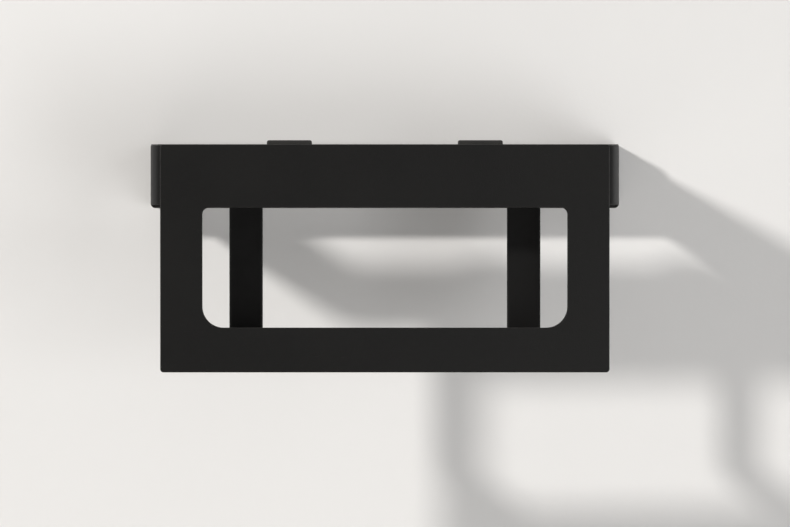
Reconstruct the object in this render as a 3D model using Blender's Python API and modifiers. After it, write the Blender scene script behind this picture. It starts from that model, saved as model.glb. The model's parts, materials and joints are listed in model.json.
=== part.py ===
# Fold-up wall rack that holds a bicycle by the top tube of its frame.
# Metres. X runs along the wall to the right, the wall's face is the plane y = 0,
# the rack reaches out along -Y, and Z is up. z = 0 is the height of the fold's axis.

import math

import bmesh
import bpy
from mathutils import Matrix, Vector

# Gap left between pieces that touch on the real rack
GAP = 0.0003

# Points closer than this are one point, and edges turned further than this stay sharp
SAME_POINT = 0.00001
SHARP_ANGLE = math.radians(35)

# Wall bracket, a pan of bent sheet that is open at its top and front
SHEET = 0.003
BRACKET_WIDTH = 0.292
BRACKET_DEPTH = 0.048
BRACKET_BEND = 0.003
CHEEK_LOWER_RADIUS = 0.004
CHEEK_UPPER_RADIUS = 0.010
PAN_EDGE = 0.0006

# Folding frame, a flat bar on edge bent to a U in plan
ARM_HEIGHT = 0.036
BAR = 0.005
ARM_SIDE_GAP = 0.0015
FRAME_REACH = 0.183
FRAME_BEND = 0.0105
FRAME_TIP_STEPS = 8

# Front plate and its window
PLATE_WIDTH = 0.266
PLATE_HEIGHT = 0.135
PLATE_THICKNESS = 0.003
PLATE_FACE = 0.250
PLATE_TOP = 0.0185
PLATE_CORNER = 0.002
PLATE_EDGE = 0.0005
WINDOW_WIDTH = 0.216
WINDOW_HEIGHT = 0.071
TOP_RAIL = 0.0375
WINDOW_UPPER_RADIUS = 0.004
WINDOW_LOWER_RADIUS = 0.0125

# Cradle hooks and their rubber sleeves
HOOK_SPACING = 0.167
HOOK_WIDTH = 0.016
HOOK_TOP = 0.017
HOOK_TOP_CHAMFER = 0.002
TRAY_DROP = 0.098
HOOK_BEND = 0.008
FOOT_BEND = 0.005
FOOT_WIDTH = 0.044
FOOT_SHOULDER = 0.0015
FOOT_CHAMFER = 0.0015
FOOT_END = 0.1155
SLEEVE_WALL = 0.0017
SLEEVE_TOP = 0.0185
SLEEVE_FRONT = 0.236

# Rubber bumpers clipped over the frame's top edge
BUMPER_SPACING = 0.115
BUMPER_WIDTH = 0.027
BUMPER_WALL = 0.003
BUMPER_LEG = 0.012
BUMPER_RADIUS = 0.002

# Foam strips on the back of the front plate's uprights
PAD_WIDTH = 0.019
PAD_HEIGHT = 0.118
PAD_THICKNESS = 0.003
PAD_RADIUS = 0.004

# Fasteners
THREAD_6 = 0.003
THREAD_5 = 0.0025
CSK_HEAD_6 = 0.006
CSK_HEAD_5 = 0.0048
CSK_LAND = 0.0004
SOCKET_6 = 0.004
SOCKET_5 = 0.003
SOCKET_DEPTH = 0.0016
FLAT_6 = 0.010
FLAT_5 = 0.008
NUT_6_HEIGHT = 0.0065
NUT_5_HEIGHT = 0.005
STUD_NUT_HEIGHT = 0.004
THREAD_SHOWING = 0.0014
WASHER_RADIUS = 0.009
FRICTION_THICKNESS = 0.0009
PLAIN_THICKNESS = 0.0012
PLAIN_RADIUS = 0.006
WALL_WASHER_THICKNESS = 0.0016
WALL_SCREW_HEAD = 0.0045
WALL_SCREW_X = (-0.112, -0.040, 0.040, 0.112)
WALL_SCREW_Z = 0.004
HOOK_BOLT_Z = (0.009, -0.009)
STUD_SPREAD = 0.028
STUD_DROP = 0.1105
ROUND_SIDES = 24
HEX_SIDES = 6
CORNER_STEPS = 6
COARSE_STEPS = 3

# How far a cutter runs on past the piece that it cuts
OVERRUN = 0.005

# Places worked out from the sizes above
ARM_HALF = ARM_HEIGHT / 2
PIVOT_Y = -(SHEET + GAP + ARM_HALF)
BRACKET_TOP = PLATE_TOP
BRACKET_BOTTOM = -(ARM_HALF + GAP + SHEET)
CHEEK_OUTER = BRACKET_WIDTH / 2
CHEEK_INNER = CHEEK_OUTER - SHEET
ARM_OUTER = CHEEK_INNER - ARM_SIDE_GAP
ARM_INNER = ARM_OUTER - BAR
ARM_MIDDLE = (ARM_OUTER + ARM_INNER) / 2
RAIL_FRONT = -FRAME_REACH
RAIL_BACK = RAIL_FRONT + BAR
HOOK_BACK = RAIL_FRONT - GAP
HOOK_FRONT = HOOK_BACK - BAR
HOOK_MIDDLE = (HOOK_BACK + HOOK_FRONT) / 2
PLATE_BACK = -PLATE_FACE + PLATE_THICKNESS
PLATE_BOTTOM = PLATE_TOP - PLATE_HEIGHT
WINDOW_TOP = PLATE_TOP - TOP_RAIL
WINDOW_BOTTOM = WINDOW_TOP - WINDOW_HEIGHT
FOOT_FACE = PLATE_BACK + GAP
FOOT_MIDDLE = FOOT_FACE + BAR / 2
FOOT_BACK = FOOT_FACE + BAR
TRAY_MIDDLE = -TRAY_DROP - BAR / 2

# Turns a slab or a turned piece, made along its own Z, to lie along the named axis
QUARTER = math.pi / 2
ALONG = {
    "-Y": (QUARTER, 0, 0),
    "X": (QUARTER, 0, QUARTER),
    "+X": (0, QUARTER, 0),
    "-X": (0, -QUARTER, 0),
}

SIDES = (("left", -1), ("right", 1))


def clear_scene():
    """Remove what the file opened with."""
    for old in list(bpy.data.objects):
        bpy.data.objects.remove(old, do_unlink=True)


def new_collection(name):
    collection = bpy.data.collections.new(name)
    bpy.context.scene.collection.children.link(collection)
    return collection


clear_scene()
PARTS = new_collection("wall_bike_rack")
CUTTERS = new_collection("cutters")


def finish(name, colour, roughness, metallic):
    """One sub-part's own material."""
    material = bpy.data.materials.new(name)
    material.use_nodes = True
    shader = material.node_tree.nodes["Principled BSDF"]
    shader.inputs["Base Color"].default_value = (*colour, 1.0)
    shader.inputs["Roughness"].default_value = roughness
    shader.inputs["Metallic"].default_value = metallic
    return material


def black_steel(name):
    return finish(name + "_coat", (0.018, 0.017, 0.016), 0.42, 0.0)


def black_fastener(name):
    return finish(name + "_oxide", (0.03, 0.03, 0.032), 0.35, 0.8)


def zinc(name):
    return finish(name + "_zinc", (0.55, 0.55, 0.56), 0.32, 1.0)


def rubber(name):
    return finish(name + "_rubber", (0.008, 0.008, 0.008), 0.75, 0.0)


def nylon(name):
    return finish(name + "_nylon", (0.6, 0.58, 0.52), 0.5, 0.0)


def foam(name):
    return finish(name + "_foam", (0.03, 0.03, 0.03), 0.9, 0.0)


def link(obj, material):
    """Put a piece in the rack's collection with its material."""
    PARTS.objects.link(obj)
    obj.data.materials.clear()
    obj.data.materials.append(material)
    return obj


def place(obj, location, parent=None):
    """Set a piece at a point of the world, under its joint's empty if it moves."""
    obj.location = Vector(location)
    if parent is not None:
        obj.parent = parent
        obj.location -= parent.location
    return obj


def hang(obj, x, axis):
    """Give a piece drawn about x = 0 its own x, with its origin on the fold's axis."""
    obj.data.transform(Matrix.Translation(-axis.location))
    obj.parent = axis
    obj.location = (x, 0, 0)
    return obj


def fillet(corners, steps=CORNER_STEPS):
    """Points through corners (u, v, radius), with an arc at each corner that has a radius."""
    points = []
    for index, (u, v, radius) in enumerate(corners):
        here = Vector((u, v))
        if radius == 0:
            points.append(here)
            continue
        before = (Vector(corners[index - 1][:2]) - here).normalized()
        after = (Vector(corners[(index + 1) % len(corners)][:2]) - here).normalized()
        half = before.angle(after) / 2
        centre = here + (before + after).normalized() * radius / math.sin(half)
        start = here + before * radius / math.tan(half) - centre
        end = here + after * radius / math.tan(half) - centre
        sweep = end.angle_signed(start)
        for step in range(steps + 1):
            angle = math.atan2(start.y, start.x) + sweep * step / steps
            points.append(centre + Vector((math.cos(angle), math.sin(angle))) * radius)
    return points


def circle(radius, sides=ROUND_SIDES, centre=(0.0, 0.0)):
    """Points round a circle, or of a regular polygon with few sides."""
    turn = 2 * math.pi / sides
    return [
        Vector((centre[0] + radius * math.cos(turn * k), centre[1] + radius * math.sin(turn * k)))
        for k in range(sides)
    ]


def hexagon(across_flats):
    return circle(across_flats / math.sqrt(3), HEX_SIDES)


def weld(mesh):
    """Join a mesh's loose caps to its walls and turn its faces outwards."""
    work = bmesh.new()
    work.from_mesh(mesh)
    bmesh.ops.remove_doubles(work, verts=work.verts, dist=SAME_POINT)
    bmesh.ops.recalc_face_normals(work, faces=work.faces)
    work.to_mesh(mesh)
    work.free()


def block(name, low, high):
    """A box between two corners."""
    low, high = Vector(low), Vector(high)
    work = bmesh.new()
    size = Matrix.Diagonal((high - low).to_4d())
    bmesh.ops.create_cube(work, size=1, matrix=Matrix.Translation((low + high) / 2) @ size)
    mesh = bpy.data.meshes.new(name)
    work.to_mesh(mesh)
    work.free()
    return bpy.data.objects.new(name, mesh)


def slab(name, outlines, thickness, along):
    """A flat piece: the first outline is its edge and the others are holes through it."""
    curve = bpy.data.curves.new(name, "CURVE")
    curve.dimensions = "2D"
    curve.fill_mode = "BOTH"
    curve.extrude = thickness / 2
    for outline in outlines:
        spline = curve.splines.new("POLY")
        spline.points.add(len(outline) - 1)
        for point, (u, v) in zip(spline.points, outline):
            point.co = (u, v, 0, 1)
        spline.use_cyclic_u = True
    flat = bpy.data.objects.new(name + "_outline", curve)
    PARTS.objects.link(flat)
    seen = flat.evaluated_get(bpy.context.evaluated_depsgraph_get())
    mesh = bpy.data.meshes.new_from_object(seen)
    bpy.data.objects.remove(flat, do_unlink=True)
    weld(mesh)
    obj = bpy.data.objects.new(name, mesh)
    obj.rotation_euler = ALONG[along]
    return obj


def turned(name, profile, along, sides=ROUND_SIDES):
    """A round piece from a profile (radius, height) that runs down its outer side."""
    mesh = bpy.data.meshes.new(name)
    points = [(radius, 0, height) for radius, height in profile]
    mesh.from_pydata(points, [(k, k + 1) for k in range(len(points) - 1)], [])
    obj = bpy.data.objects.new(name, mesh)
    screw = obj.modifiers.new("turn", "SCREW")
    screw.steps = screw.render_steps = sides
    screw.use_merge_vertices = True
    screw.merge_threshold = SAME_POINT
    screw.use_smooth_shade = False
    obj.rotation_euler = ALONG[along]
    return obj


def strip(name, stations, thickness):
    """A bent bar from pairs of edge points along its middle surface; a pair may meet in one point."""
    work = bmesh.new()
    rows = []
    for low, high in stations:
        if (high - low).length < GAP:
            rows.append([work.verts.new((low + high) / 2)])
        else:
            rows.append([work.verts.new(low), work.verts.new(high)])
    for near, far in zip(rows, rows[1:]):
        work.faces.new(near + far[::-1])
    bmesh.ops.recalc_face_normals(work, faces=work.faces)
    mesh = bpy.data.meshes.new(name)
    work.to_mesh(mesh)
    work.free()
    obj = bpy.data.objects.new(name, mesh)
    wall = obj.modifiers.new("thickness", "SOLIDIFY")
    wall.thickness = thickness
    wall.offset = 0
    wall.use_even_offset = True
    return obj


def boolean(obj, other, operation):
    """Cut, join or trim a piece by another solid, which stays as a guide."""
    if other.name not in CUTTERS.objects:
        CUTTERS.objects.link(other)
        other.hide_render = True
        other.display_type = "WIRE"
    step = obj.modifiers.new(operation.lower(), "BOOLEAN")
    step.operation = operation
    step.object = other
    step.solver = "EXACT"


def soften(obj, width, segments=1):
    """A bevel on a piece's sharp edges."""
    bevel = obj.modifiers.new("edge", "BEVEL")
    bevel.width = width
    bevel.segments = segments
    bevel.limit_method = "ANGLE"
    bevel.angle_limit = SHARP_ANGLE
    return obj


def drill(name, radius, length, along, location):
    """A round bar of a given length about a point, to cut with or to join on."""
    half = length / 2
    bar = turned(name, [(0, half), (radius, half), (radius, -half), (0, -half)], along)
    return place(bar, location)


def shade(pieces):
    """Make finished pieces plain meshes, shaded smooth where they are round."""
    for piece in pieces:
        seen = piece.evaluated_get(bpy.context.evaluated_depsgraph_get())
        mesh = bpy.data.meshes.new_from_object(seen)
        mesh.name = piece.name
        mesh.shade_smooth()
        mesh.set_sharp_from_angle(angle=SHARP_ANGLE)
        piece.modifiers.clear()
        piece.data = mesh


def hinge_empty():
    """The fold's axis, on which every folding piece hangs."""
    axis = bpy.data.objects.new("fold_axis", None)
    axis.empty_display_size = BRACKET_DEPTH
    axis.location = (0, PIVOT_Y, 0)
    PARTS.objects.link(axis)
    return axis


def countersunk_profile(head, thread, depth, length, swell=0.0):
    """Head with its flat at height 0, and a shank that ends at -length."""
    return [
        (0, 0),
        (head + swell, 0),
        (head + swell, -CSK_LAND - swell),
        (thread + swell, -depth - swell),
        (thread + swell, -length),
        (0, -length),
    ]


def seat_profile(head, thread, depth):
    """A countersunk hole through the stock, open well past its mouth."""
    profile = countersunk_profile(head, thread, depth, depth + OVERRUN, GAP)
    mouth = [(0, OVERRUN), (head + GAP, OVERRUN)]
    return mouth + profile[1:]


def pan_outside():
    """The pan's outer shape: a block with rounded bends, trimmed at its top and front."""
    low = (-CHEEK_OUTER, -BRACKET_DEPTH - OVERRUN, BRACKET_BOTTOM)
    high = (CHEEK_OUTER, 0, BRACKET_TOP + OVERRUN)
    pan = block("wall_bracket", low, high)
    soften(pan, BRACKET_BEND, CORNER_STEPS)
    side = fillet([
        (OVERRUN, BRACKET_BOTTOM, 0),
        (-BRACKET_DEPTH, BRACKET_BOTTOM, CHEEK_LOWER_RADIUS),
        (-BRACKET_DEPTH, BRACKET_TOP, CHEEK_UPPER_RADIUS),
        (OVERRUN, BRACKET_TOP, 0),
    ])
    boolean(pan, slab("pan_side", [side], BRACKET_WIDTH + 2 * OVERRUN, "X"), "INTERSECT")
    return pan


def wall_bracket():
    """The pan that screws to the wall and holds the fold's two pivots."""
    pan = pan_outside()
    link(pan, black_steel("wall_bracket"))
    floor = -ARM_HALF - GAP
    hollow = fillet([
        (CHEEK_INNER, BRACKET_TOP + OVERRUN, 0),
        (-CHEEK_INNER, BRACKET_TOP + OVERRUN, 0),
        (-CHEEK_INNER, floor, PAN_EDGE),
        (CHEEK_INNER, floor, PAN_EDGE),
    ], steps=COARSE_STEPS)
    inside = slab("pan_hollow", [hollow], BRACKET_DEPTH, "-Y")
    boolean(pan, place(inside, (0, -SHEET - BRACKET_DEPTH / 2, 0)), "DIFFERENCE")

    for number, x in enumerate(WALL_SCREW_X, 1):
        where = (x, 0, WALL_SCREW_Z)
        hole = drill(f"wall_hole_{number}", THREAD_6 + GAP, 2 * (SHEET + OVERRUN), "-Y", where)
        boolean(pan, hole, "DIFFERENCE")
    for side_name, sign in SIDES:
        seat = turned(f"pivot_seat_{side_name}", seat_profile(CSK_HEAD_6, THREAD_6, SHEET),
                      "+X" if sign > 0 else "-X")
        boolean(pan, place(seat, (sign * CHEEK_OUTER, PIVOT_Y, 0)), "DIFFERENCE")
    return pan


def frame_stations():
    """Pairs of edge points along the U, with round tips about the fold's axis."""
    tip = [QUARTER * (1 - step / FRAME_TIP_STEPS) for step in range(FRAME_TIP_STEPS)]
    ends = [(PIVOT_Y + ARM_HALF * math.sin(angle), ARM_HALF * math.cos(angle)) for angle in tip]
    bends = fillet([
        (-ARM_MIDDLE, PIVOT_Y, 0),
        (-ARM_MIDDLE, RAIL_FRONT + BAR / 2, FRAME_BEND),
        (ARM_MIDDLE, RAIL_FRONT + BAR / 2, FRAME_BEND),
        (ARM_MIDDLE, PIVOT_Y, 0),
    ])
    middle = [(-ARM_MIDDLE, y, half) for y, half in ends]
    middle += [(x, y, ARM_HALF) for x, y in bends]
    middle += [(ARM_MIDDLE, y, half) for y, half in reversed(ends)]
    return [(Vector((x, y, -half)), Vector((x, y, half))) for x, y, half in middle]


def arm_frame(axis):
    """The U of flat bar that swings up to the wall."""
    frame = strip("arm_frame", frame_stations(), BAR)
    link(frame, black_steel("arm_frame"))
    hang(frame, 0, axis)
    bore = drill("frame_pivot_bore", THREAD_6 + GAP, BRACKET_WIDTH, "+X", (0, PIVOT_Y, 0))
    boolean(frame, bore, "DIFFERENCE")
    for side_name, sign in SIDES:
        for number, z in enumerate(HOOK_BOLT_Z, 1):
            name = f"frame_hole_{side_name}_{number}"
            where = (sign * HOOK_SPACING / 2, RAIL_FRONT, z)
            hole = drill(name, THREAD_5 + GAP, 2 * (BAR + OVERRUN), "-Y", where)
            boolean(frame, hole, "DIFFERENCE")
    return frame


def hook_line(top, *rest):
    """Middle line (y, z) down a cradle hook's post, round its bend and on through the rest."""
    return fillet([(HOOK_MIDDLE, top, 0), (HOOK_MIDDLE, TRAY_MIDDLE, HOOK_BEND), *rest])


def across(line, half_widths):
    """Pairs of edge points of a bar that lies across X."""
    return [(Vector((-half, y, z)), Vector((half, y, z))) for (y, z), half in zip(line, half_widths)]


def hook_stations():
    """Pairs of edge points down a hook: chamfered top, post, tray, and the wide foot."""
    foot = [(FOOT_MIDDLE, TRAY_MIDDLE, FOOT_BEND), (FOOT_MIDDLE, -FOOT_END, 0)]
    bends = hook_line(HOOK_TOP, *foot)[1:-1]
    narrow = HOOK_WIDTH / 2
    wide = FOOT_WIDTH / 2
    stations = [
        ((HOOK_MIDDLE, HOOK_TOP), narrow - HOOK_TOP_CHAMFER),
        ((HOOK_MIDDLE, HOOK_TOP - HOOK_TOP_CHAMFER), narrow),
        *((bend, narrow) for bend in bends),
        ((FOOT_MIDDLE, bends[-1].y - FOOT_SHOULDER), wide),
        ((FOOT_MIDDLE, -FOOT_END + FOOT_CHAMFER), wide),
        ((FOOT_MIDDLE, -FOOT_END), wide - FOOT_CHAMFER),
    ]
    return across(*zip(*stations))


def hook(side_name, sign, axis):
    """A post, tray and foot bent from one flat bar, whose foot is cut wider."""
    bar = strip(f"hook_{side_name}", hook_stations(), BAR)
    link(bar, black_steel(bar.name))
    x = sign * HOOK_SPACING / 2
    hang(bar, x, axis)
    for number, z in enumerate(HOOK_BOLT_Z, 1):
        profile = seat_profile(CSK_HEAD_5, THREAD_5, THREAD_5)
        seat = turned(f"hook_seat_{side_name}_{number}", profile, "-Y")
        boolean(bar, place(seat, (x, HOOK_FRONT, z)), "DIFFERENCE")
    for number, shift in enumerate((-STUD_SPREAD / 2, STUD_SPREAD / 2), 1):
        where = (x + shift, FOOT_MIDDLE, -STUD_DROP)
        hole = drill(f"foot_hole_{side_name}_{number}", THREAD_5 + GAP, BAR + OVERRUN, "-Y", where)
        boolean(bar, hole, "DIFFERENCE")
    return bar


def sleeve(side_name, sign, axis):
    """A rubber tube of flat section, pushed on to the hook from the post's top."""
    outer_thickness = BAR + 2 * (GAP + SLEEVE_WALL)
    outer_half = HOOK_WIDTH / 2 + GAP + SLEEVE_WALL
    line = hook_line(-SLEEVE_TOP, (-SLEEVE_FRONT, TRAY_MIDDLE, 0))
    tube = strip(f"sleeve_{side_name}", across(line, [outer_half] * len(line)), outer_thickness)
    link(tube, rubber(tube.name))
    x = sign * HOOK_SPACING / 2
    hang(tube, x, axis)
    line = hook_line(-SLEEVE_TOP + OVERRUN, (-SLEEVE_FRONT - OVERRUN, TRAY_MIDDLE, 0))
    bore_half = HOOK_WIDTH / 2 + GAP
    bore = strip(f"sleeve_bore_{side_name}", across(line, [bore_half] * len(line)), BAR + 2 * GAP)
    boolean(tube, place(bore, (x, 0, 0)), "DIFFERENCE")
    return tube


def front_plate(axis):
    """The flat plate with a window that keeps the tube in the cradle."""
    half = PLATE_WIDTH / 2
    edge = fillet([
        (half, PLATE_TOP, PLATE_CORNER),
        (-half, PLATE_TOP, PLATE_CORNER),
        (-half, PLATE_BOTTOM, PLATE_CORNER),
        (half, PLATE_BOTTOM, PLATE_CORNER),
    ])
    half = WINDOW_WIDTH / 2
    window = fillet([
        (half, WINDOW_TOP, WINDOW_UPPER_RADIUS),
        (-half, WINDOW_TOP, WINDOW_UPPER_RADIUS),
        (-half, WINDOW_BOTTOM, WINDOW_LOWER_RADIUS),
        (half, WINDOW_BOTTOM, WINDOW_LOWER_RADIUS),
    ])
    plate = slab("front_plate", [edge, window], PLATE_THICKNESS, "-Y")
    link(plate, black_steel("front_plate"))
    soften(plate, PLATE_EDGE)
    return place(plate, (0, PLATE_BACK - PLATE_THICKNESS / 2, 0), axis)


def plate_pad(side_name, sign, axis):
    """A foam strip glued to the back of one upright of the front plate."""
    half = PAD_WIDTH / 2
    tall = PAD_HEIGHT / 2
    outline = fillet([(half, tall, PAD_RADIUS), (-half, tall, PAD_RADIUS),
                      (-half, -tall, PAD_RADIUS), (half, -tall, PAD_RADIUS)], steps=COARSE_STEPS)
    pad = slab(f"plate_pad_{side_name}", [outline], PAD_THICKNESS, "-Y")
    link(pad, foam(pad.name))
    x = sign * (PLATE_WIDTH + WINDOW_WIDTH) / 4
    y = PLATE_BACK + GAP + PAD_THICKNESS / 2
    return place(pad, (x, y, (PLATE_TOP + PLATE_BOTTOM) / 2), axis)


def bumper(side_name, sign, axis):
    """A rubber clip over the frame's top edge, which meets the wall when the rack is folded."""
    slot_front = RAIL_FRONT - GAP
    slot_back = RAIL_BACK + GAP
    foot = ARM_HALF - BUMPER_LEG
    outline = fillet([
        (slot_front - BUMPER_WALL, ARM_HALF + BUMPER_WALL, BUMPER_RADIUS),
        (slot_front - BUMPER_WALL, foot, 0),
        (slot_front, foot, 0),
        (slot_front, ARM_HALF + GAP, 0),
        (slot_back, ARM_HALF + GAP, 0),
        (slot_back, foot, 0),
        (slot_back + BUMPER_WALL, foot, 0),
        (slot_back + BUMPER_WALL, ARM_HALF + BUMPER_WALL, BUMPER_RADIUS),
    ], steps=COARSE_STEPS)
    clip = slab(f"bumper_{side_name}", [outline], BUMPER_WIDTH, "X")
    link(clip, rubber(clip.name))
    return place(clip, (sign * BUMPER_SPACING / 2, 0, 0), axis)


def socket(name, flat, along, location):
    """A hexagon cutter for a socket whose mouth is at the given point."""
    cutter = slab(name, [hexagon(flat)], 2 * SOCKET_DEPTH, along)
    return place(cutter, location)


def ring(name, outer, inner, thickness, along, location, material, parent=None):
    """A washer."""
    piece = slab(name, [circle(outer), circle(inner)], thickness, along)
    link(piece, material)
    return place(piece, location, parent)


def nut(name, flat, thread, height, along, location, parent=None):
    piece = slab(name, [hexagon(flat), circle(thread + GAP)], height, along)
    link(piece, black_fastener(name))
    return place(piece, location, parent)


def pivot(side_name, sign):
    """One pivot: bolt, friction washers each side of the arm, plain washer and lock nut."""
    inner_face = ARM_INNER - GAP
    washer_face = inner_face - FRICTION_THICKNESS - GAP
    nut_face = washer_face - PLAIN_THICKNESS - GAP
    for kind, face, radius, thickness, material in (
        ("friction_outer", CHEEK_INNER - GAP, WASHER_RADIUS, FRICTION_THICKNESS, nylon),
        ("friction_inner", inner_face, WASHER_RADIUS, FRICTION_THICKNESS, nylon),
        ("washer", washer_face, PLAIN_RADIUS, PLAIN_THICKNESS, zinc),
    ):
        name = f"pivot_{kind}_{side_name}"
        where = (sign * (face - thickness / 2), PIVOT_Y, 0)
        ring(name, radius, THREAD_6 + GAP, thickness, "X", where, material(name))
    where = (sign * (nut_face - NUT_6_HEIGHT / 2), PIVOT_Y, 0)
    nut(f"pivot_nut_{side_name}", FLAT_6, THREAD_6, NUT_6_HEIGHT, "X", where)
    length = CHEEK_OUTER - nut_face + NUT_6_HEIGHT + THREAD_SHOWING
    profile = countersunk_profile(CSK_HEAD_6, THREAD_6, SHEET, length)
    bolt = turned(f"pivot_bolt_{side_name}", profile, "+X" if sign > 0 else "-X")
    link(bolt, black_fastener(bolt.name))
    mouth = (sign * CHEEK_OUTER, PIVOT_Y, 0)
    place(bolt, mouth)
    boolean(bolt, socket(f"pivot_socket_{side_name}", SOCKET_6, "X", mouth), "DIFFERENCE")


def wall_screws():
    """Hexagon-headed wall screws with washers; each shank is cut off at the wall's face."""
    for number, x in enumerate(WALL_SCREW_X, 1):
        y = -SHEET - GAP - WALL_WASHER_THICKNESS / 2
        ring(f"wall_washer_{number}", WASHER_RADIUS, THREAD_6 + GAP, WALL_WASHER_THICKNESS, "-Y",
             (x, y, WALL_SCREW_Z), zinc(f"wall_washer_{number}"))
        y -= WALL_WASHER_THICKNESS / 2 + GAP
        head = slab(f"wall_screw_{number}", [hexagon(FLAT_6)], WALL_SCREW_HEAD, "-Y")
        link(head, black_fastener(head.name))
        place(head, (x, y - WALL_SCREW_HEAD / 2, WALL_SCREW_Z))
        shank_end = -GAP
        length = shank_end - (y - WALL_SCREW_HEAD / 2)
        where = (x, shank_end - length / 2, WALL_SCREW_Z)
        boolean(head, drill(f"wall_shank_{number}", THREAD_6, length, "-Y", where), "UNION")


def hook_fasteners(side_name, sign, axis):
    """Two countersunk bolts and nuts that hold a hook to the frame's front run."""
    x = sign * HOOK_SPACING / 2
    for number, z in enumerate(HOOK_BOLT_Z, 1):
        label = f"_{side_name}_{number}"
        y = RAIL_BACK + GAP + NUT_5_HEIGHT / 2
        nut("hook_nut" + label, FLAT_5, THREAD_5, NUT_5_HEIGHT, "-Y", (x, y, z), axis)
        length = y + NUT_5_HEIGHT / 2 + THREAD_SHOWING - HOOK_FRONT
        profile = countersunk_profile(CSK_HEAD_5, THREAD_5, THREAD_5, length)
        bolt = turned("hook_bolt" + label, profile, "-Y")
        link(bolt, black_fastener(bolt.name))
        mouth = (x, HOOK_FRONT, z)
        place(bolt, mouth, axis)
        boolean(bolt, socket("hook_socket" + label, SOCKET_5, "-Y", mouth), "DIFFERENCE")


def plate_fasteners(side_name, sign, axis):
    """Weld studs on the back of the front plate, and the nuts behind a hook's foot."""
    for number, shift in enumerate((-STUD_SPREAD / 2, STUD_SPREAD / 2), 1):
        label = f"_{side_name}_{number}"
        x = sign * HOOK_SPACING / 2 + shift
        y = FOOT_BACK + GAP + STUD_NUT_HEIGHT / 2
        nut("plate_nut" + label, FLAT_5, THREAD_5, STUD_NUT_HEIGHT, "-Y", (x, y, -STUD_DROP), axis)
        length = y + STUD_NUT_HEIGHT / 2 + THREAD_SHOWING - FOOT_FACE
        where = (x, FOOT_FACE + length / 2, -STUD_DROP)
        profile = [(0, length / 2), (THREAD_5, length / 2), (THREAD_5, -length / 2), (0, -length / 2)]
        stud = turned("plate_stud" + label, profile, "-Y")
        link(stud, black_fastener(stud.name))
        place(stud, where, axis)


def build():
    axis = hinge_empty()
    wall_bracket()
    wall_screws()
    arm_frame(axis)
    front_plate(axis)
    for side_name, sign in SIDES:
        pivot(side_name, sign)
        hook(side_name, sign, axis)
        hook_fasteners(side_name, sign, axis)
        sleeve(side_name, sign, axis)
        plate_fasteners(side_name, sign, axis)
        plate_pad(side_name, sign, axis)
        bumper(side_name, sign, axis)
    shade([piece for piece in PARTS.objects if piece.type == "MESH"])


build()
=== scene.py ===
import json
import math
from collections import namedtuple

import bmesh
import bpy
from mathutils import Matrix, Vector

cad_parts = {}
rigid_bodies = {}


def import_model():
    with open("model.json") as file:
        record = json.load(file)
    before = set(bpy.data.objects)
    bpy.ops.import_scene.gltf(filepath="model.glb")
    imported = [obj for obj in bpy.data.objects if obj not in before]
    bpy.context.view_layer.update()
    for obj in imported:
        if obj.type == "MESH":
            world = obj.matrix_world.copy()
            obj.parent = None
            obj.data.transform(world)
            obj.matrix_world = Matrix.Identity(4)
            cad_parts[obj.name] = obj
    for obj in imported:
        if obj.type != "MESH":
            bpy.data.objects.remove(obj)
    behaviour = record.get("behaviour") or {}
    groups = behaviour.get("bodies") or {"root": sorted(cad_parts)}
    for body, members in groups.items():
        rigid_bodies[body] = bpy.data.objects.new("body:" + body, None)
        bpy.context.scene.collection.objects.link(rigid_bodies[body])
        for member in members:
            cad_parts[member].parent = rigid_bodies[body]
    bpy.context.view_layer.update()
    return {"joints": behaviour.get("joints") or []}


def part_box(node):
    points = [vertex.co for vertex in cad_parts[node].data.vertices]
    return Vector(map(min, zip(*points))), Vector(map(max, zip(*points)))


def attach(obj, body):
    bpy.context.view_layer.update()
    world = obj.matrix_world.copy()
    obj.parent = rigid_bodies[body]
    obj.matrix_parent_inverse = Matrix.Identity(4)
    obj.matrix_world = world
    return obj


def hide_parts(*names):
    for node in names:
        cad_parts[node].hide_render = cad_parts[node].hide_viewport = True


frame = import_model()

# The fold joint names the two bodies
FIXED = frame["joints"][0]["parent"]
FOLDING = frame["joints"][0]["child"]
SIDES = ("left", "right")
OUTWARD = (Vector((-1, 0, 0)), Vector((1, 0, 0)))
FRONT = Vector((0, -1, 0))
PAIR = (1, 2)
FOUR = (1, 2, 3, 4)

# Where the pieces are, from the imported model
PLATE_LOW, PLATE_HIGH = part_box("front_plate")
ARM_LOW, ARM_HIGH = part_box("arm_frame")
HOOK_LOW, HOOK_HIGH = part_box("hook_right")
SLEEVE_LOW, SLEEVE_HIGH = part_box("sleeve_right")

# Bar stock, its bends and its rolled edges
BAR_HALF = 0.0025
BAR_EDGE = 0.0007
FRAME_BEND = 0.0105
HOOK_HALF_WIDTH = 0.008
HOOK_BEND = 0.008
HOOK_TOP_CHAMFER = 0.002
FOOT_BEND = 0.005
FOOT_SHOULDER = 0.0015
FOOT_CHAMFER = 0.0015
POST_MIDDLE = HOOK_HIGH.y - BAR_HALF
FOOT_MIDDLE = HOOK_LOW.y + BAR_HALF
TRAY_MIDDLE = SLEEVE_LOW.z + (SLEEVE_HIGH.y - HOOK_HIGH.y) + BAR_HALF

# Sheet of the wall bracket
SHEET = 0.003
SHEET_EDGE = 0.0004
BEND = 0.003
INNER_BEND = 0.0008
CHEEK_RADIUS = 0.010
NOSE = 0.0022
NOSE_STEPS = 6
RIM_TURN = 45
MOUTH_EDGE = 0.0004

# Front plate
WINDOW_SIDE = 0.025
WINDOW_TOP = 0.0375
WINDOW_FOOT = 0.0265
WINDOW_UPPER_RADIUS = 0.004
WINDOW_LOWER_RADIUS = 0.0125
PLATE_CORNER = 0.002
PLATE_EDGE = 0.0006

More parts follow.
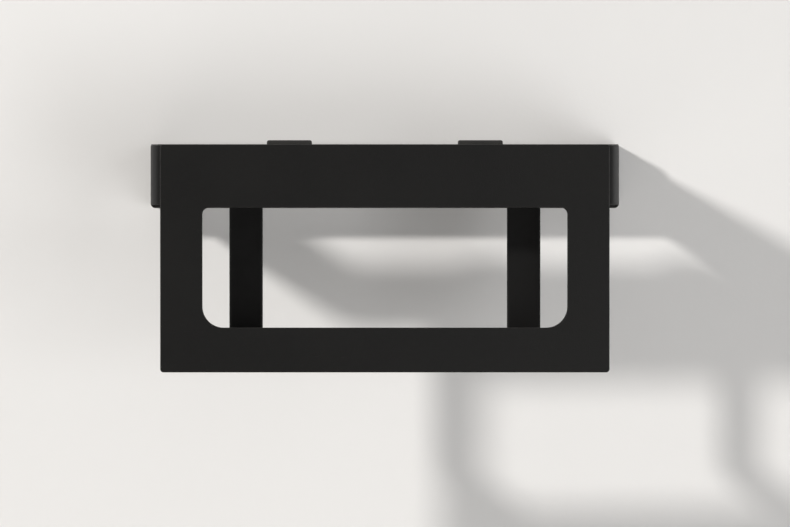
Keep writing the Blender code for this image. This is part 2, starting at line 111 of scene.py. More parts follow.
# Rubber and foam
SLEEVE_GAP = 0.0003
SLEEVE_EDGE = 0.0016
SLEEVE_LIP = 0.0006
BUMPER_LEG = 0.003
BUMPER_ROUND = 0.002
BUMPER_TIP = 0.0014
BUMPER_EDGE = 0.0012
BUMPER_STEPS = 6
PAD_CORNER = 0.004
PAD_EDGE = 0.0010
FOAM_CELL = 0.0012

# Fastener sizes: radius of thread, hole and head, pitch, width over flats and of the socket
HOLE_SLACK = 0.0003
Size = namedtuple("Size", "thread hole head pitch flat socket")
M5 = Size(0.0025, 0.0025 + HOLE_SLACK, 0.0048, 0.0008, 0.008, 0.003)
M6 = Size(0.003, 0.003 + HOLE_SLACK, 0.006, 0.001, 0.010, 0.004)
THREAD_DEPTH = 0.00042
RINGS_PER_TURN = 6
PLAIN_SHANK = 0.5
STUD_COLLAR = 0.0006
SOCKET_FLOOR, SOCKET_POINT = 0.0016, 0.0021
HEAD_LAND = 0.0004
SCREW_HEAD = 0.0045
CHAMFER = 0.0004
FINE = 0.0001
HEX_FACE, HEX_SLOPE = 0.475, math.radians(28)

# Lock nut: its hexagon's share of the height, its collar and the seat of its nylon ring
LOCK_HEX = 0.66
COLLAR = 0.44
COLLAR_WALL = 0.0005
COLLAR_LIP = 0.0001
CRIMP = 0.0005
RING_SEAT = 0.0018

# A lock nut's crimped lip, its rolled outside, where a screw head's dome starts, and the middle
# of a small rolled edge, all as shares; and how far a cut thread stops short of the tip
LIP_LOW, LIP_TOP = 0.7, 0.2
ROLL_IN, ROLL_PART, ROLL_DOWN = 0.5, 0.15, 0.6
DOME_START = 0.9
ROLL_MIDDLE = 0.3
RUN_OUT = CHAMFER * 1.5

# A thread's radius, pitch, top and bottom that groove nothing, and the most that a fastener is
# turned by chance, in radians
NO_THREAD = (0.0, 1.0, -1.0, 1.0)
LITTLE_SPIN, ANY_SPIN = 0.3, 1.0

# Steps round a turned piece, an arc, a bend and a small edge, and the angles that stay sharp
TURN_SIDES = 48
ARC_STEPS = 12
BEND_STEPS = 8
EDGE_STEPS = 3
SHARP = 32
SHARP_ON_RUBBER = 50
SHARP_ON_FASTENER = 30
SAME_POINT = 0.000002
OVERRUN = 0.001
QUARTER = math.pi / 2
BEVEL_WEIGHT = "bevel_weight_edge"

# Looks: dark and light colour and that of worn edges, all linear, size of the grain and of its
# drift in tone, roughness from and to, bump depth and strength
Look = namedtuple("Look", "dark light worn grain drift roughness bump")
COAT_LOOK = Look((0.0034, 0.0032, 0.0029), (0.0045, 0.0042, 0.0038), (0.022, 0.0207, 0.0195),
                 0.0007, 0.04, (0.41, 0.47), (0.00014, 0.9))
SLEEVE_LOOK = Look((0.0034, 0.0031, 0.0029), (0.0052, 0.0048, 0.0045), (0.010, 0.0095, 0.009),
                   0.0006, 0.014, (0.66, 0.80), (0.00010, 0.8))
CLIP_LOOK = Look((0.024, 0.023, 0.022), (0.034, 0.033, 0.0315), (0.060, 0.058, 0.056),
                 0.0006, 0.014, (0.60, 0.74), (0.00010, 0.8))
# The foam's dark colour is painted shade at the bottom of its open cells
FOAM_LOOK = Look((0.012, 0.012, 0.0125), (0.030, 0.030, 0.031), None,
                 0.0005, 0.012, (0.86, 0.96), (0.00012, 0.6))
OXIDE_LOOK = Look((0.045, 0.045, 0.048), (0.075, 0.075, 0.080), (0.20, 0.20, 0.21),
                  0.0006, 0.006, (0.30, 0.46), (0.00003, 0.35))
ZINC_LOOK = Look((0.50, 0.51, 0.53), (0.62, 0.62, 0.60), (0.78, 0.78, 0.78),
                 0.0008, 0.006, (0.24, 0.38), (0.00003, 0.35))
NYLON_LOOK = Look((0.50, 0.48, 0.42), (0.62, 0.60, 0.54), None,
                  0.0005, 0.005, (0.42, 0.55), (0.00003, 0.3))
SCUFF_COLOUR, DUST_COLOUR = (0.030, 0.028, 0.026), (0.105, 0.101, 0.094)
BURNISH = 0.12
PIT_RIM = 0.45

# Masks: noise as (detail, roughness), and spreads as (from, to) or (from, to, down to, up to)
PEBBLES, PEBBLE_SHARE, WAVE_SCALE = (2.0, 0.55), 0.6, 0.28
DRIFT = (3.0, 0.6), (0.3, 0.7)
EDGE_SAMPLES, EDGE_TURN = 4, (0.999, 0.93)
EDGE_PATCHES = (3.0, 0.6), (0.35, 0.65, 0.35, 1.0)
DUST_SLOPE = (0.55, 0.95)
DUST_PATCHES = (4.0, 0.65), (0.25, 0.75, 0.2, 1.0)
SCUFF_AXIS, SCUFF_TURNS, SCUFF_CUT = (0.2, 1.0, 0.3), (12, -34), (0.70, 0.80)
SCUFF_PATCHES, SCUFF_SPREAD = 22.0, (0.48, 0.68)


def tangent_path(corners, steps=ARC_STEPS):
    """Points through corners (u, v, radius) with an arc at each corner that has a radius."""
    points = []
    for index, (u, v, radius) in enumerate(corners):
        here = Vector((u, v))
        if radius == 0:
            points.append(here)
            continue
        before = (Vector(corners[index - 1][:2]) - here).normalized()
        after = (Vector(corners[(index + 1) % len(corners)][:2]) - here).normalized()
        half = before.angle(after) / 2
        centre = here + (before + after).normalized() * radius / math.sin(half)
        start = here + before * radius / math.tan(half) - centre
        end = here + after * radius / math.tan(half) - centre
        sweep = end.angle_signed(start)
        first = math.atan2(start.y, start.x)
        for step in range(steps + 1):
            angle = first + sweep * step / steps
            points.append(centre + Vector((math.cos(angle), math.sin(angle))) * radius)
    return points


def upright(low, high, upper, lower):
    """Outline of an upright rectangle with its own upper and lower radius."""
    return tangent_path([
        (high.x, high.z, upper), (low.x, high.z, upper), (low.x, low.z, lower), (high.x, low.z, lower),
    ])


def middle_of(node):
    low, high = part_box(node)
    return (low + high) / 2


def extent(node, axis):
    low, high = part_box(node)
    return high[axis] - low[axis]


def add(name, mesh):
    obj = bpy.data.objects.new(name, mesh)
    bpy.context.scene.collection.objects.link(obj)
    return obj


def settle(obj):
    """Turn a built object and its modifiers into a plain mesh whose place is in its vertices."""
    graph = bpy.context.evaluated_depsgraph_get()
    mesh = bpy.data.meshes.new_from_object(obj.evaluated_get(graph), depsgraph=graph)
    mesh.transform(obj.matrix_world)
    name = obj.name
    bpy.data.objects.remove(obj, do_unlink=True)
    mesh.name = name
    return add(name, mesh)


def mesh_from(name, work):
    """A mesh object from finished work, its faces turned outwards."""
    bmesh.ops.recalc_face_normals(work, faces=work.faces)
    mesh = bpy.data.meshes.new(name)
    work.to_mesh(mesh)
    work.free()
    return add(name, mesh)


def clean(mesh):
    """Merge doubles and point every face outwards."""
    work = bmesh.new()
    work.from_mesh(mesh)
    bmesh.ops.remove_doubles(work, verts=work.verts, dist=SAME_POINT)
    bmesh.ops.recalc_face_normals(work, faces=work.faces)
    work.to_mesh(mesh)
    work.free()


def shade(obj, angle=SHARP):
    """Smooth shading that keeps flats flat and edges past the angle sharp."""
    obj.data.shade_smooth()
    obj.data.set_sharp_from_angle(angle=math.radians(angle))
    obj.modifiers.new("flats", "WEIGHTED_NORMAL").keep_sharp = True
    return settle(obj)


def soften(obj, width, segments, chosen=lambda edge: True):
    """A live bevel on the chosen edges."""
    work = bmesh.new()
    work.from_mesh(obj.data)
    layers = work.edges.layers.float
    weight = layers.get(BEVEL_WEIGHT) or layers.new(BEVEL_WEIGHT)
    for edge in work.edges:
        edge[weight] = float(chosen(edge))
    work.to_mesh(obj.data)
    work.free()
    bevel = obj.modifiers.new("edge", "BEVEL")
    bevel.width = width
    bevel.segments = segments
    bevel.limit_method = "WEIGHT"
    bevel.use_clamp_overlap = False


def flat_piece(name, outlines, low, high, edge, faces):
    """A flat piece with rounded edges between two heights along the axis it faces."""
    curve = bpy.data.curves.new(name, "CURVE")
    curve.dimensions = "2D"
    curve.fill_mode = "BOTH"
    curve.extrude = (high - low) / 2 - edge
    curve.bevel_depth = edge
    curve.bevel_resolution = EDGE_STEPS
    curve.offset = -edge
    for outline in outlines:
        spline = curve.splines.new("POLY")
        spline.points.add(len(outline) - 1)
        for point, (u, v) in zip(spline.points, outline):
            point.co = (u, v, 0, 1)
        spline.use_cyclic_u = True
    obj = add(name, curve)
    middle = (low + high) / 2
    obj.rotation_euler = (QUARTER, 0, 0) if faces == "Y" else (QUARTER, 0, QUARTER)
    obj.location = (0, middle, 0) if faces == "Y" else (middle, 0, 0)
    bpy.context.view_layer.update()
    obj = settle(obj)
    clean(obj.data)
    return shade(obj)


def bent_stations(path, across, thickness):
    """Stations along a bent path of (u, v, half width): centre, two axes and the two halves."""
    line = [Vector((u, v)) for u, v, _ in path]
    stations = []
    for index, (point, (_, _, half)) in enumerate(zip(line, path)):
        before, after = line[max(index - 1, 0)], line[min(index + 1, len(line) - 1)]
        stations.append((*across(point, (after - before).normalized()), half, thickness))
    return stations


def across_x(x):
    """Centre and axes of a bar that lies across X at the given place, for a point (y, z)."""
    def across(point, tangent):
        return Vector((x, point.x, point.y)), Vector((1, 0, 0)), Vector((0, -tangent.y, tangent.x))
    return across


def on_edge(point, tangent):
    """Centre and axes of a bar that stands on edge, for a point (x, y)."""
    return Vector((point.x, point.y, 0)), Vector((0, 0, 1)), Vector((-tangent.y, tangent.x, 0))


def ring(station, radius):
    """Points round a station's section, a rectangle with rounded corners."""
    centre, along_u, along_v, half_u, half_v = station
    points = []
    for corner, (sign_u, sign_v) in enumerate(((1, 1), (-1, 1), (-1, -1), (1, -1))):
        for step in range(EDGE_STEPS + 1):
            angle = (corner + step / EDGE_STEPS) * QUARTER
            u = sign_u * (half_u - radius) + radius * math.cos(angle)
            v = sign_v * (half_v - radius) + radius * math.sin(angle)
            points.append(centre + along_u * u + along_v * v)
    return points


def join(work, rows, closed):
    """Faces from each row of vertices to the next, where a row of one is a tip."""
    for near, far in list(zip(rows, rows[1:])) + ([(rows[-1], rows[0])] if closed else []):
        count = max(len(near), len(far))
        for k in range(count):
            j = (k + 1) % count
            if len(near) == 1:
                work.faces.new((near[0], far[j], far[k]))
            elif len(far) == 1:
                work.faces.new((near[k], near[j], far[0]))
            else:
                work.faces.new((near[k], near[j], far[j], far[k]))


def skin(name, rings, closed=False):
    """Faces between rings of points, with the two ends filled or joined to each other."""
    work = bmesh.new()
    rows = [[work.verts.new(point) for point in points] for points in rings]
    join(work, rows, closed)
    if not closed:
        work.faces.new(rows[0])
        work.faces.new(rows[-1])
    return mesh_from(name, work)


def cut(obj, tools, operation="DIFFERENCE"):
    """Cut tools out of a piece, or trim it by them, and drop the tools."""
    for tool in tools:
        step = obj.modifiers.new("cut", "BOOLEAN")
        step.operation = operation
        step.solver = "EXACT"
        step.object = tool
    bpy.context.view_layer.update()
    done = settle(obj)
    for tool in tools:
        bpy.data.objects.remove(tool, do_unlink=True)
    return done


def block(name, low, high, radius):
    """A box between two corners with rounded edges."""
    low, high = Vector(low), Vector(high)
    work = bmesh.new()
    size = Matrix.Diagonal((high - low).to_4d())
    bmesh.ops.create_cube(work, size=1, matrix=Matrix.Translation((low + high) / 2) @ size)
    obj = mesh_from(name, work)
    soften(obj, radius, BEND_STEPS)
    return obj


def quarter(steps=EDGE_STEPS):
    """How far a rounded edge lies from its two sides, as shares, over a quarter turn."""
    angles = [step / steps * QUARTER for step in range(steps + 1)]
    return [(1 - math.sin(angle), 1 - math.cos(angle)) for angle in angles]


def mouth(radius, face):
    """Profile of a hole's mouth at a face, from outside in, its rim rolled by the coat."""
    rolled = [(radius + MOUTH_EDGE * wide, face - MOUTH_EDGE * deep) for wide, deep in quarter()]
    return [(radius + MOUTH_EDGE, face + OVERRUN), *rolled]


def bore(size, place, axis, near, far):
    """A cutter for a fastener's hole along an axis through a place, its mouths rolled at two faces."""
    start, end = Vector(place), Vector(place)
    start[axis], end[axis] = near, far
    half = (end - start).length / 2
    rim = mouth(size.hole, half)
    far_rim = [(wide, -height) for wide, height in reversed(rim)]
    past = half + OVERRUN
    tool = turned("bore", [(0, past), *rim, *far_rim, (0, -past)])
    turn = Vector((0, 0, 1)).rotation_difference(end - start).to_matrix().to_4x4()
    tool.data.transform(Matrix.Translation((start + end) / 2) @ turn)
    return tool


def seat(size, depth, place, angle, axis):
    """A cutter for a countersunk hole at a place, its mouth rolled, run on past both faces."""
    wide, bored = size.head + HOLE_SLACK, size.hole
    tool = turned("seat", [
        (0, OVERRUN), *mouth(wide, 0), (wide, -HEAD_LAND - HOLE_SLACK),
        (bored, -depth - HOLE_SLACK), (bored, -3 * depth), (0, -3 * depth),
    ])
    tool.data.transform(Matrix.Translation(place) @ Matrix.Rotation(angle, 4, axis))
    return tool


def turned(name, profile, sides=TURN_SIDES):
    """A closed piece turned about Z; a radius or height may be a function of the angle."""
    work = bmesh.new()
    rows = []
    for radius, height in profile:
        if radius == 0:
            rows.append([work.verts.new((0, 0, height))])
            continue
        row = []
        for k in range(sides):
            angle = 2 * math.pi * k / sides
            r = radius(angle) if callable(radius) else radius
            z = height(angle) if callable(height) else height
            row.append(work.verts.new((r * math.cos(angle), r * math.sin(angle), z)))
        rows.append(row)
    join(work, rows, closed=len(rows[0]) > 1)
    return mesh_from(name, work)


# Profiles of the fasteners, as (radius, height) round the section

def hexagon(flat):
    """Radius of a hexagon at an angle."""
    def radius(angle):
        return flat / 2 / math.cos(angle % (math.pi / 3) - math.pi / 6)
    return radius


def crowned(flat, base, sign):
    """Radius and height of a hexagon's chamfered rim, which drops towards its corners."""
    corner = hexagon(flat)

    def height(angle):
        return base - sign * (corner(angle) - flat * HEX_FACE) * math.tan(HEX_SLOPE)
    return corner, height


def thread_rings(size, top, bottom):
    """Rings close enough together to carry a thread."""
    count = round((top - bottom) / size.pitch * RINGS_PER_TURN)
    return [(size.thread, top + (bottom - top) * k / count) for k in range(count + 1)]


def nut_profile(size, height):
    half, face, bored = height / 2, size.flat * HEX_FACE, size.hole
    return [
        (bored + CHAMFER, half), (face, half), crowned(size.flat, half, 1), crowned(size.flat, -half, -1),
        (face, -half), (bored + CHAMFER, -half), (bored, -half + CHAMFER), (bored, half - CHAMFER),
    ]


def lock_nut_profile(size, height):
    """A hexagon with a round collar, crimped over at its rim to hold the nylon ring."""
    half, face, bored = height / 2, size.flat * HEX_FACE, size.hole
    top = -half + height * LOCK_HEX
    collar = size.flat * COLLAR
    seat = collar - COLLAR_WALL
    return [
        (bored, half - RING_SEAT), (seat, half - RING_SEAT), (seat, half - CRIMP),
        (seat - COLLAR_LIP, half - CRIMP * LIP_LOW), (seat - COLLAR_LIP, half - CRIMP * LIP_TOP),
        (seat, half), (collar - CRIMP * ROLL_IN, half),
        (collar - CRIMP * ROLL_PART, half - CRIMP * LIP_TOP),
        (collar, half - CRIMP * ROLL_DOWN), (collar, top + FINE),
        (face, top), crowned(size.flat, top, 1), crowned(size.flat, -half, -1), (face, -half),
        (bored + CHAMFER, -half), (bored, -half + CHAMFER),
    ]


def nylon_ring_profile(size, height):
    """The nylon ring that sits in a lock nut's collar and grips the bolt."""
    top = height / 2 - CRIMP - FINE
    bottom = height / 2 - RING_SEAT + FINE
    inner = size.thread + FINE / 2
    outer = size.flat * COLLAR - COLLAR_WALL - FINE
    return [(inner, top - FINE), (inner + FINE, top), (outer, top), (outer, bottom), (inner, bottom)]


def countersunk_profile(size, depth, length):
    """A flush head with a hexagon socket, and rings for a thread on the shank's far part."""
    socket, thread, head = hexagon(size.socket), size.thread, size.head
    return [
        (0, -SOCKET_POINT), (socket, -SOCKET_FLOOR), (socket, -2 * FINE),
        (size.socket / math.sqrt(3) + FINE, 0), (head - FINE, 0), (head, -FINE), (head, -HEAD_LAND),
        (thread, -depth), *thread_rings(size, -length * PLAIN_SHANK + size.pitch, -length + CHAMFER),
        (thread - CHAMFER, -length), (0, -length),
    ]


def wall_screw_profile(reach):
    """A hexagon head with a slightly domed top, and the shank as far as the wall."""
    face = M6.flat * HEX_FACE
    rim = SCREW_HEAD - 2 * FINE
    return [
        (0, SCREW_HEAD), (face * DOME_START, SCREW_HEAD - FINE / 2), (face, rim),
        crowned(M6.flat, rim, 1), (hexagon(M6.flat), FINE),
        (M6.thread + CHAMFER, 0), (M6.thread, -2 * FINE), (M6.thread, -reach), (0, -reach),
    ]


def stud_profile(length):
    """A weld stud: rings for a thread up to a chamfered tip, and a plain collar at the plate."""
    half = length / 2
    return [
        (0, half), (M5.thread - CHAMFER, half),
        *thread_rings(M5, half - CHAMFER, -half + STUD_COLLAR + 2 * FINE),
        (M5.thread, -half + STUD_COLLAR), (M5.thread, -half), (0, -half),
    ]


def washer_profile(outer, thickness):
    """A stamped washer, its outer upper edge rolled and its other edges broken."""
    half, edge, inner = thickness / 2, thickness / 4, M6.hole
    return [
        (inner, half - edge / 2), (inner + edge / 2, half), (outer - edge, half),
        (outer - edge * ROLL_MIDDLE, half - edge * ROLL_MIDDLE), (outer, half - edge),
        (outer, -half + edge / 2), (outer - edge / 2, -half), (inner + edge / 2, -half),
        (inner, -half + edge / 2),
    ]


# Node trees, and the masks that more than one finish uses

class Nodes:
    """A node tree, with calls that add a node to it and give its output."""

    def __init__(self, tree):
        self.tree = tree

    def wire(self, value, socket):
        """Link an output to an input, or set the input to a plain value."""
        if isinstance(value, bpy.types.NodeSocket):
            self.tree.links.new(value, socket)
        else:
            socket.default_value = value

    def node(self, kind, inputs=(), **settings):
        """Outputs of a new node; its inputs are given in their order or by name."""
        node = self.tree.nodes.new(kind)
        for setting, value in settings.items():
            setattr(node, setting, value)
        for key, value in inputs.items() if isinstance(inputs, dict) else enumerate(inputs):
            self.wire(value, node.inputs[key])
        return node.outputs

    def math(self, operation, *values, clamp=False):
        """Values worked together by an operation, one after another."""
        done = self.node("ShaderNodeMath", values[:2], operation=operation, use_clamp=clamp)[0]
        return self.math(operation, done, *values[2:], clamp=clamp) if values[2:] else done

    def vector(self, operation, *values):
        return self.node("ShaderNodeVectorMath", values, operation=operation)

    def spread(self, value, low, high, to_low=0.0, to_high=1.0):
        """A value carried from one range to another and held at its ends."""
        ends = {"From Min": low, "From Max": high, "To Min": to_low, "To Max": to_high}
        return self.node("ShaderNodeMapRange", {"Value": value, **ends})["Result"]

    def place(self):
        return self.node("ShaderNodeTexCoord")["Object"]

    def noise(self, scale, detail=2.0, roughness=0.5, place=None):
        """Noise on the piece's own place, or on one that is given."""
        inputs = {"Scale": scale, "Detail": detail, "Roughness": roughness}
        inputs["Vector"] = self.place() if place is None else place
        return self.node("ShaderNodeTexNoise", inputs)["Fac"]

    def patches(self, size, texture, spread):
        """A mask of patches about as large as a size."""
        return self.spread(self.noise(self.math("DIVIDE", 1.0, size), *texture), *spread)


class Mask(Nodes):
    """A shader group under construction, with named numbers going in and coming out."""

    def __init__(self, name, inputs, outputs=("Mask",)):
        super().__init__(bpy.data.node_groups.new(name, "ShaderNodeTree"))
        for direction, labels in (("INPUT", inputs), ("OUTPUT", outputs)):
            for label in labels:
                self.tree.interface.new_socket(label, in_out=direction, socket_type="NodeSocketFloat")
        self.given = self.node("NodeGroupInput")

    def closed(self, *results):
        """The finished group, its results wired to its outputs in their order."""
        for result, socket in zip(results, self.tree.nodes.new("NodeGroupOutput").inputs):
            self.wire(result, socket)
        return self.tree


def grain():
    """Fine pebbled surface: its height, and a slow drift of tone over the piece."""
    mask = Mask("surface grain", ("Grain Size", "Drift Size"), ("Height", "Tone"))
    fine = mask.math("DIVIDE", 1.0, mask.given["Grain Size"])
    coarse = mask.math("MULTIPLY", fine, WAVE_SCALE)
    pebbles = mask.math("MULTIPLY", mask.noise(fine, *PEBBLES), PEBBLE_SHARE)
    waves = mask.math("MULTIPLY", mask.noise(coarse, detail=1.0), 1 - PEBBLE_SHARE)
    return mask.closed(mask.math("ADD", pebbles, waves), mask.patches(mask.given["Drift Size"], *DRIFT))


def edges():
    """A mask of the piece's rounded edges, broken up as handling leaves it."""
    mask = Mask("handled edges", ("Width", "Breakup"))
    rounded = mask.node("ShaderNodeBevel", {"Radius": mask.given["Width"]}, samples=EDGE_SAMPLES)
    plain = mask.node("ShaderNodeNewGeometry")["Normal"]
    turn = mask.vector("DOT_PRODUCT", rounded["Normal"], plain)["Value"]
    patches = mask.patches(mask.given["Breakup"], *EDGE_PATCHES)
    return mask.closed(mask.math("MULTIPLY", mask.spread(turn, *EDGE_TURN), patches, clamp=True))


def dust():
    """A mask of the light dust that settles on faces that look up."""
    mask = Mask("settled dust", ("Amount", "Patch Size"))
    normal = mask.node("ShaderNodeNewGeometry")["Normal"]
    up = mask.spread(mask.node("ShaderNodeSeparateXYZ", (normal,))["Z"], *DUST_SLOPE)
    patches = mask.patches(mask.given["Patch Size"], *DUST_PATCHES)
    return mask.closed(mask.math("MULTIPLY", up, patches, mask.given["Amount"]))


def hairlines(mask, turn):
    """One layer of hairlines: noise drawn out along a direction."""
    turned_place = {"Vector": mask.place(), "Axis": SCUFF_AXIS, "Angle": math.radians(turn)}
    scales = [mask.math("DIVIDE", 1.0, mask.given[label]) for label in ("Length", "Width", "Width")]
    stretch = mask.node("ShaderNodeCombineXYZ", scales)[0]
    drawn = mask.vector("MULTIPLY", mask.node("ShaderNodeVectorRotate", turned_place)[0], stretch)[0]
    return mask.spread(mask.noise(1.0, detail=1.0, place=drawn), *SCUFF_CUT)


def scuffs():
    """A mask of sparse hairline rubs in two directions, in patches."""
    mask = Mask("hairline scuffs", ("Length", "Width", "Amount"))
    lines = mask.math("MAXIMUM", *(hairlines(mask, turn) for turn in SCUFF_TURNS))
    patches = mask.spread(mask.noise(SCUFF_PATCHES), *SCUFF_SPREAD)
    return mask.closed(mask.math("MULTIPLY", lines, patches, mask.given["Amount"]))


GRAIN = grain()
EDGES = edges()
DUST = dust()
SCUFFS = scuffs()

# A Mix node's two colour inputs and its colour output
MIX_SIDES = (6, 7)
MIXED = 2


class Finish(Nodes):
    """A material under construction, the record's slot for it, and the calls that feed its shader."""

    def __init__(self, name, slot=None, metallic=0.0, specular=0.5):
        self.slot = slot or name
        self.material = bpy.data.materials.new(name)
        self.material.use_nodes = True
        super().__init__(self.material.node_tree)
        self.shader = self.tree.nodes["Principled BSDF"]
        self.feed("Metallic", metallic)
        self.feed("Specular IOR Level", specular)

    def feed(self, label, value):
        self.wire(value, self.shader.inputs[label])

    def group(self, group, **values):
        """Outputs of a shader group with this finish's own values."""
        inputs = {label.replace("_", " "): value for label, value in values.items()}
        return self.node("ShaderNodeGroup", inputs, node_tree=group)

    def mix(self, factor, *sides):
        """Blend two colours, each a socket or a plain colour, by a mask."""
        inputs = {"Factor": factor}
        for key, side in zip(MIX_SIDES, sides):
            inputs[key] = side if isinstance(side, bpy.types.NodeSocket) else (*side, 1.0)
        return self.node("ShaderNodeMix", inputs, data_type="RGBA")[MIXED]

    def bump(self, height, depth, strength):
        inputs = {"Distance": depth, "Strength": strength, "Height": height}
        self.feed("Normal", self.node("ShaderNodeBump", inputs)["Normal"])

    def grained(self, look, burnished=None, pits_and_shade=None):
        """Grain in roughness and bump; gives the colour between two, drifting with the tone, or darker in
        pits, which is painted shade.
        """
        height, tone = self.group(GRAIN, Grain_Size=look.grain, Drift_Size=look.drift)
        rough = self.spread(tone, 0.0, 1.0, *look.roughness)
        if burnished is not None:
            rough = self.math("SUBTRACT", rough, self.math("MULTIPLY", burnished, BURNISH))
        self.feed("Roughness", rough)
        self.bump(height if pits_and_shade is None else self.math("ADD", pits_and_shade, height), *look.bump)
        # Given pits dent the bump, and the colour is painted darker in them as painted shade
        return self.mix(tone if pits_and_shade is None else pits_and_shade, look.dark, look.light)

    def aged(self, colour, edge, worn, **settled):
        """The base colour, worn on its handled edges, with dust where it is given."""
        colour = self.mix(edge, colour, worn)
        if settled:
            colour = self.mix(self.group(DUST, **settled)["Mask"], colour, DUST_COLOUR)
        self.feed("Base Color", colour)
        return self


def powder_coat():
    """Satin black powder coat: fine pebble, slightly burnished edges, a trace of dust."""
    finish = Finish("black_powder_coat", specular=0.10)
    edge = finish.group(EDGES, Width=0.0009, Breakup=0.007)["Mask"]
    rubbed = finish.group(SCUFFS, Length=0.030, Width=0.00035, Amount=0.30)["Mask"]
    colour = finish.mix(rubbed, finish.grained(COAT_LOOK, burnished=edge), SCUFF_COLOUR)
    return finish.aged(colour, edge, COAT_LOOK.worn, Amount=0.20, Patch_Size=0.018)


def rubber(name, look):
    """Matte moulded rubber, greyer on its edges from handling and age."""
    finish = Finish(name, "black_rubber", specular=0.12)
    edge = finish.group(EDGES, Width=0.0009, Breakup=0.005)["Mask"]
    return finish.aged(finish.grained(look), edge, look.worn, Amount=0.30, Patch_Size=0.012)


def foam():
    """Closed-cell foam strip with small open cells on its cut faces, their hollows painted darker as
    painted shade.
    """
    finish = Finish("eva_foam", specular=0.2)
    cells = finish.node("ShaderNodeTexVoronoi", {"Vector": finish.place(), "Scale": 1 / FOAM_CELL})
    # The cells' hollows: a dent in the bump, and painted shade in the colour
    pits_and_shade = finish.spread(cells["Distance"], 0.0, PIT_RIM)
    finish.feed("Base Color", finish.grained(FOAM_LOOK, pits_and_shade=pits_and_shade))
    return finish


def metal(name, look):
    """A plated or oxidised steel that is brighter on its handled edges."""
    finish = Finish(name, metallic=1.0)
    edge = finish.group(EDGES, Width=0.0004, Breakup=0.003)["Mask"]
    return finish.aged(finish.grained(look), edge, look.worn)


def nylon():
    """Natural nylon of the friction washers and the lock nuts' rings."""
    finish = Finish("nylon", specular=0.45)
    finish.feed("Base Color", finish.grained(NYLON_LOOK))
    return finish


COAT = powder_coat()
SLEEVE_RUBBER = rubber("sleeve_rubber", SLEEVE_LOOK)
CLIP_RUBBER = rubber("bumper_rubber", CLIP_LOOK)
FOAM = foam()
OXIDE = metal("black_oxide_steel", OXIDE_LOOK)
ZINC = metal("zinc_steel", ZINC_LOOK)
NYLON = nylon()


def dress(obj, finish, body, *nodes):
    """Give a finished piece its material, its body and the CAD nodes that it stands for."""
    obj.data.materials.clear()
    obj.data.materials.append(finish.material)
    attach(obj, body)
    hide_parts(*nodes)


# The coated steel pieces

def front_plate():
    """The flat plate with its window, every edge rolled by the coat."""
    low = Vector((PLATE_LOW.x + WINDOW_SIDE, 0, PLATE_LOW.z + WINDOW_FOOT))
    high = Vector((PLATE_HIGH.x - WINDOW_SIDE, 0, PLATE_HIGH.z - WINDOW_TOP))
    edge = upright(PLATE_LOW, PLATE_HIGH, PLATE_CORNER, PLATE_CORNER)
    window = upright(low, high, WINDOW_UPPER_RADIUS, WINDOW_LOWER_RADIUS)
    plate = flat_piece("coated_front_plate", [edge, window], PLATE_LOW.y, PLATE_HIGH.y, PLATE_EDGE, "Y")
    dress(plate, COAT, FOLDING, "front_plate")


def frame_stations():
    """Stations along the U of flat bar, its rear tips round about the fold's axis."""
    half = (ARM_HIGH.z - ARM_LOW.z) / 2
    middle = ARM_HIGH.x - BAR_HALF
    pivot = ARM_HIGH.y - half
    front = ARM_LOW.y + BAR_HALF
    angles = [QUARTER * (1 - k / ARC_STEPS) for k in range(ARC_STEPS)]
    tips = [(pivot + half * math.sin(a), max(half * math.cos(a), BAR_EDGE * 2)) for a in angles]
    bends = tangent_path([
        (-middle, pivot, 0), (-middle, front, FRAME_BEND), (middle, front, FRAME_BEND), (middle, pivot, 0),
    ])
    path = [(-middle, y, h) for y, h in tips] + [(*bend, half) for bend in bends]
    return bent_stations(path + [(middle, y, h) for y, h in reversed(tips)], on_edge, BAR_HALF)


def arm_frame():
    """The U that swings up to the wall, bored for its pivots and for the hooks' bolts."""
    bar = skin("coated_arm_frame", [ring(station, BAR_EDGE) for station in frame_stations()])
    tools = []
    for side, sign in zip(SIDES, (-1, 1)):
        outer, inner = sign * ARM_HIGH.x, sign * (ARM_HIGH.x - 2 * BAR_HALF)
        tools.append(bore(M6, (0, middle_of(f"pivot_bolt_{side}").y, 0), 0, inner, outer))
        for number in PAIR:
            bolt = middle_of(f"hook_bolt_{side}_{number}")
            tools.append(bore(M5, bolt, 1, ARM_LOW.y, ARM_LOW.y + 2 * BAR_HALF))
    dress(shade(cut(bar, tools)), COAT, FOLDING, "arm_frame")


def hook_line(top, *rest):
    """Middle line (y, z) down a hook's post, round its bend and on through the rest."""
    return tangent_path([(POST_MIDDLE, top, 0), (POST_MIDDLE, TRAY_MIDDLE, HOOK_BEND), *rest])


def hook_stations(x):
    """Stations down a hook: chamfered top, post, tray, and the wide foot with cut corners."""
    narrow, wide = HOOK_HALF_WIDTH, (HOOK_HIGH.x - HOOK_LOW.x) / 2
    foot = [(FOOT_MIDDLE, TRAY_MIDDLE, FOOT_BEND), (FOOT_MIDDLE, HOOK_LOW.z, 0)]
    bends = hook_line(HOOK_HIGH.z, *foot)[1:-1]
    path = [
        (POST_MIDDLE, HOOK_HIGH.z, narrow - HOOK_TOP_CHAMFER),
        (POST_MIDDLE, HOOK_HIGH.z - HOOK_TOP_CHAMFER, narrow),
        *((*bend, narrow) for bend in bends),
        (FOOT_MIDDLE, bends[-1].y - FOOT_SHOULDER, wide),
        (FOOT_MIDDLE, HOOK_LOW.z + FOOT_CHAMFER, wide),
        (FOOT_MIDDLE, HOOK_LOW.z, wide - FOOT_CHAMFER),
    ]
    return bent_stations(path, across_x(x), BAR_HALF)


